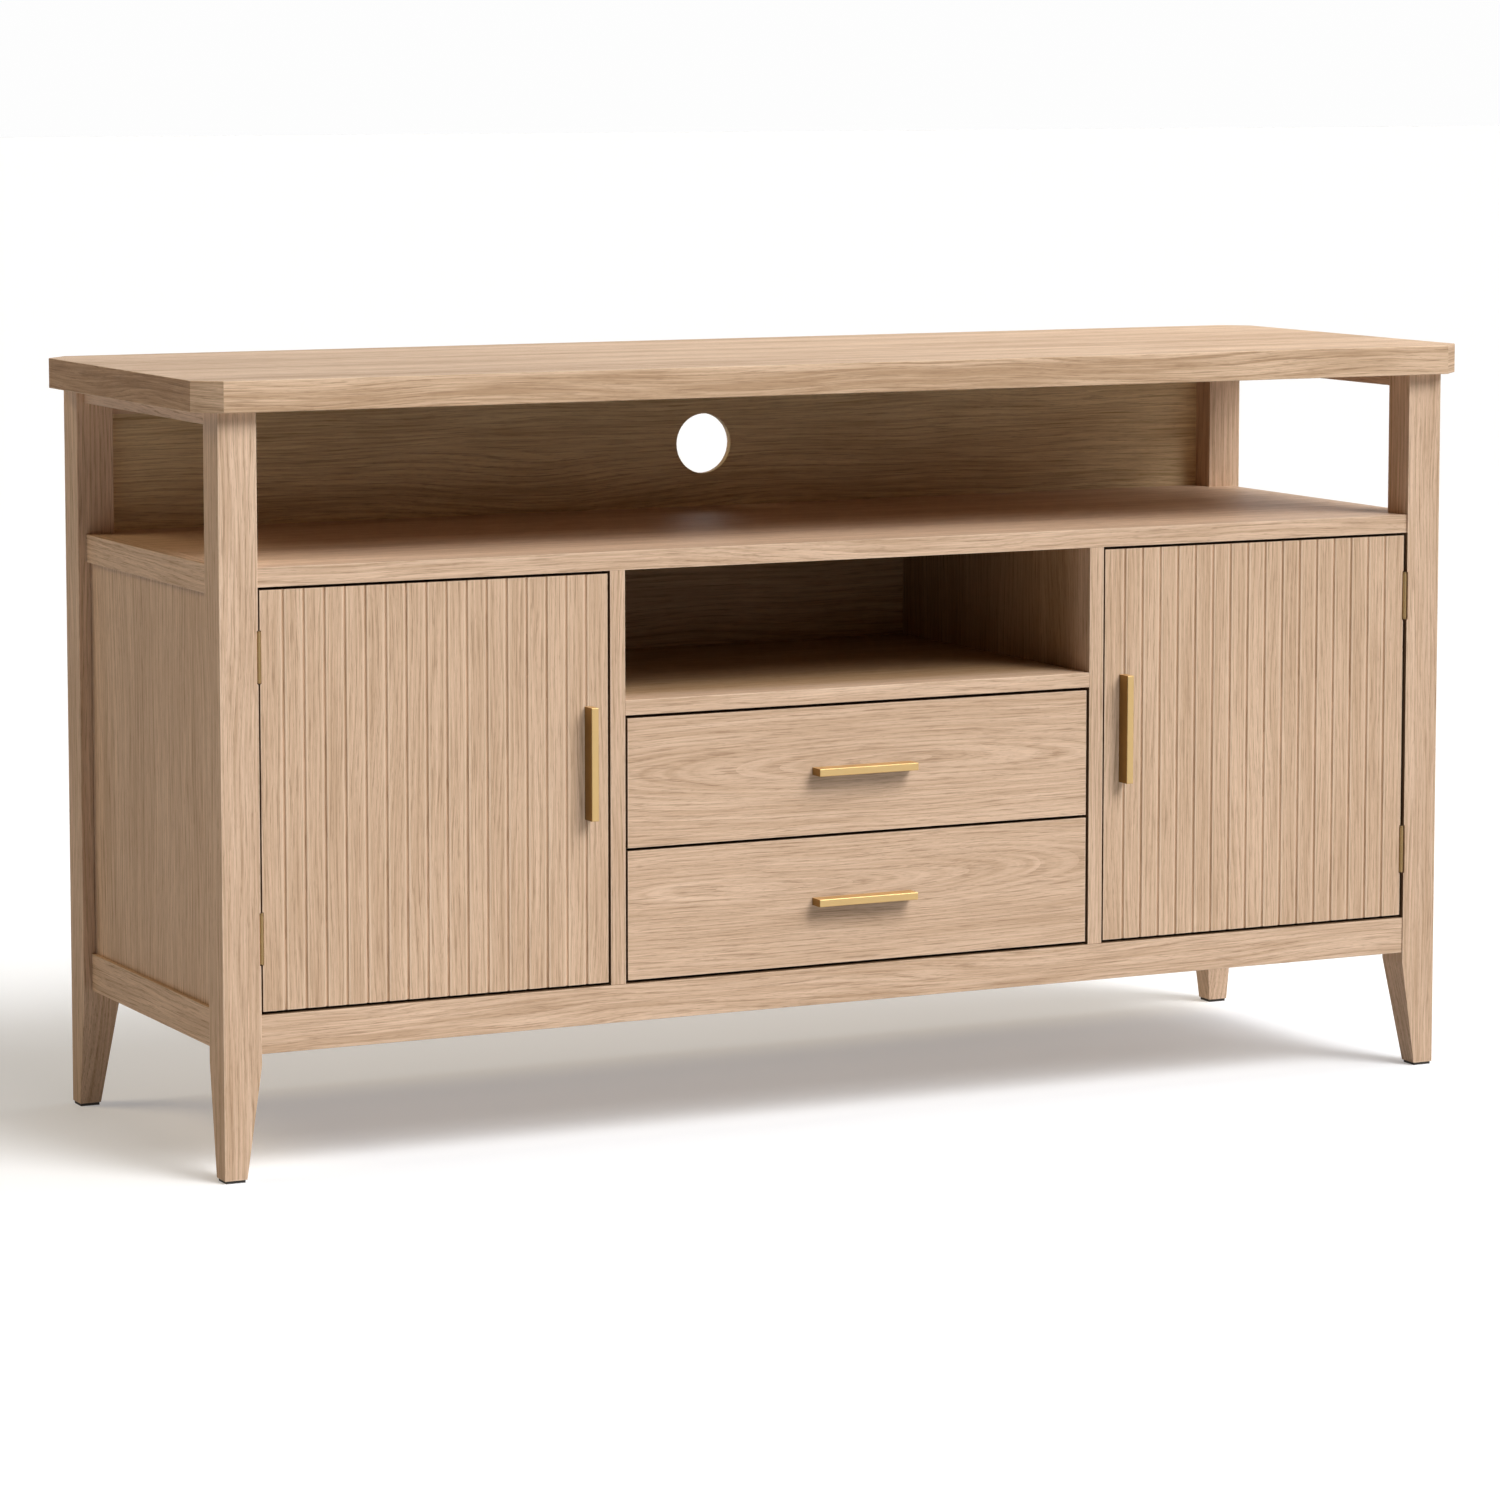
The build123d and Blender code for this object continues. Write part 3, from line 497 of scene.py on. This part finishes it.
def paint(name, material):
    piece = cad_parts[name]
    piece.data.materials.clear()
    piece.data.materials.append(material)


# ---------------------------------------------------------------- floor, light and camera


def make_floor():
    mesh = bpy.data.meshes.new("floor")
    floor = bpy.data.objects.new("floor", mesh)
    bpy.context.scene.collection.objects.link(floor)
    shape = bmesh.new()
    bmesh.ops.create_grid(shape, x_segments=1, y_segments=1, size=60.0)
    shape.to_mesh(mesh)
    shape.free()
    floor.location.z = CAD_BOX[0].z
    made, graph, shader = new_material("pale_floor")
    seen = graph.add("LightPath", output="Is Camera Ray")
    color = graph.mix(seen, FLOOR_BOUNCE, FLOOR_COLOR)
    glow = graph.add("Mix", {0: seen, 2: BOUNCE_GLOW, 3: FLOOR_GLOW}, data_type="FLOAT")
    graph.tree.links.new(color, shader.inputs["Base Color"])
    graph.tree.links.new(glow, shader.inputs["Emission Strength"])
    shader.inputs["Roughness"].default_value = 0.9
    shader.inputs["Specular IOR Level"].default_value = 0.0
    shader.inputs["Emission Color"].default_value = (1.0, 1.0, 1.0, 1.0)
    mesh.materials.append(made)


def add_sun(name, towards, strength, angle):
    """A soft far lamp that shines from the direction towards."""
    light = bpy.data.lights.new(name, "SUN")
    light.energy = strength
    light.angle = math.radians(angle)
    light.color = LAMP_COLORS.get(name, (1.0, 1.0, 1.0))
    lamp = bpy.data.objects.new(name, light)
    lamp.rotation_euler = Vector(towards).to_track_quat("Z", "Y").to_euler()
    bpy.context.scene.collection.objects.link(lamp)


def add_soft_box():
    """A square lamp that hangs over the right end, so that the top is brighter there."""
    light = bpy.data.lights.new("soft_box", "AREA")
    light.size = SOFT_BOX_WIDTH
    light.energy = SOFT_BOX_POWER
    lamp = bpy.data.objects.new("soft_box", light)
    lamp.location = SOFT_BOX_PLACE
    lamp.visible_camera = False
    bpy.context.scene.collection.objects.link(lamp)


def make_world():
    """White where the camera sees it. It lights the cabinet as a white wall behind and a dim room."""
    world = bpy.data.worlds.new("studio")
    bpy.context.scene.world = world
    world.use_nodes = True
    graph = Graph(world.node_tree)
    background = world.node_tree.nodes["Background"]
    direction = graph.add("TexCoord", output="Generated")
    glossy = graph.add("LightPath", output="Is Glossy Ray")
    room = 0.0
    for towards, inner, outer, strength, mirrored_only in WORLD_GLOWS:
        facing = graph.vector("DOT_PRODUCT", direction, tuple(Vector(towards).normalized()))
        glow = graph.smooth(facing.node.outputs["Value"], outer, inner, 0.0, strength)
        if mirrored_only:
            glow = graph.math("MULTIPLY", glow, glossy)
        room = graph.math("ADD", room, glow)
    seen = graph.add("LightPath", output="Is Camera Ray")
    level = graph.add("Mix", {0: seen, 2: room, 3: BACKDROP}, data_type="FLOAT")
    graph.tree.links.new(level, background.inputs["Strength"])
    background.inputs["Color"].default_value = (1.0, 1.0, 1.0, 1.0)


def make_camera():
    data = bpy.data.cameras.new("camera")
    data.sensor_width = 36.0
    data.lens = CAMERA_LENS
    data.shift_y = CAMERA_SHIFT
    camera = bpy.data.objects.new("camera", data)
    camera.location = CAMERA_PLACE
    camera.rotation_euler = [math.radians(a) for a in CAMERA_TURN]
    bpy.context.scene.collection.objects.link(camera)
    bpy.context.scene.camera = camera


FLOOR_GLOW = 0.27
FLOOR_COLOR = (0.758, 0.774, 0.796)
FLOOR_BOUNCE = (0.43, 0.43, 0.43)
BOUNCE_GLOW = 0.15
# direction, cosines where it is full and where it ends, strength, seen in reflections only
WORLD_GLOWS = (
    ((0.45, 0.88, 0.10), 0.97, 0.80, 0.92, False),
    ((0.45, -0.88, 0.06), 0.985, 0.93, 1.1, True),
)
# direction the light comes from, strength, angle across in degrees
LAMPS = {
    "key": ((0.372, -0.644, 0.669), 1.95, 30.0),
    "high_fill": ((0.196, -0.539, 0.819), 1.07, 30.0),
    "right_fill": ((0.750, -0.433, 0.500), 0.58, 30.0),
    "left_fill": ((-0.620, 0.320, 0.716), 0.82, 30.0),
}
LAMP_COLORS = {"left_fill": (1.0, 0.80, 0.52)}
# soft box over the right end: place and width in m, power in W
SOFT_BOX_PLACE = (1.3, 0.1, 3.2)
SOFT_BOX_WIDTH = 1.6
SOFT_BOX_POWER = 27.0
BACKDROP = 0.985
CAMERA_PLACE = (-2.581, -5.1765, 1.142)
CAMERA_TURN = (84.05, 0.0, -26.30)
CAMERA_LENS = 127.2
CAMERA_SHIFT = -0.1

# ---------------------------------------------------------------- everything together

WEAR_AND_HIGHLIGHT = make_wear_and_highlight_group()
OAK = make_oak_group()

draw = random.Random(SEED)
hearts = {
    "upper_drawer_front": (75.0, -214.0, 386.0),
    "lower_drawer_front": (-120.0, -212.0, 262.0),
}
for axis, names in (("X", OAK_ALONG_X), ("Y", OAK_ALONG_Y), ("Z", OAK_ALONG_Z)):
    for name in names:
        offset = [draw.uniform(-4000.0, 4000.0) for _ in range(3)]
        material = oak_material(name, axis, offset, TONES_AND_PAINTED_LIGHT.get(name), hearts.get(name), name == "top_slab")
        paint(name, material)
        soften(name, 0.8 * MM)

birch = ply_material()
for name in PLY:
    paint(name, birch)
    soften(name, 0.6 * MM)

brass_along_x = metal_material("satin_brass_x", *BRASS, (40.0, 0.25, 0.25), 0.44, 0.2, BRASS_LEFT_PAINTED_SHADE)
brass_along_z = metal_material("satin_brass_z", *BRASS, (0.25, 0.25, 40.0), 0.44, 0.2, BRASS_LEFT_PAINTED_SHADE)
for name in PULLS:
    paint(name, brass_along_z if "door" in name else brass_along_x)
    soften(name, 0.5 * MM)
    # so that the brass throws no bright specks on the wood
    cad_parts[name].visible_diffuse = False
hinge_brass = metal_material("hinge_brass", *HINGE_BRASS, (0.25, 0.25, 40.0), 0.40, 0.2)
for name in HINGES:
    paint(name, hinge_brass)
steel = metal_material("plated_slide", (0.66, 0.67, 0.69), (0.52, 0.53, 0.55), (0.6, 60.0, 0.6), 0.38, 0.15)
for name in SLIDES:
    paint(name, steel)
zinc = metal_material("zinc_plate", (0.70, 0.70, 0.69), (0.58, 0.59, 0.60), (1.2, 1.2, 1.2), 0.30, 0.1)
for name in ZINC:
    paint(name, zinc)
nylon = plastic_material()
for name in PLASTIC:
    paint(name, nylon)

make_floor()
make_world()
for name, (towards, strength, angle) in LAMPS.items():
    add_sun(name, towards, strength, angle)
add_soft_box()
make_camera()
bpy.context.scene.view_settings.view_transform = "Standard"
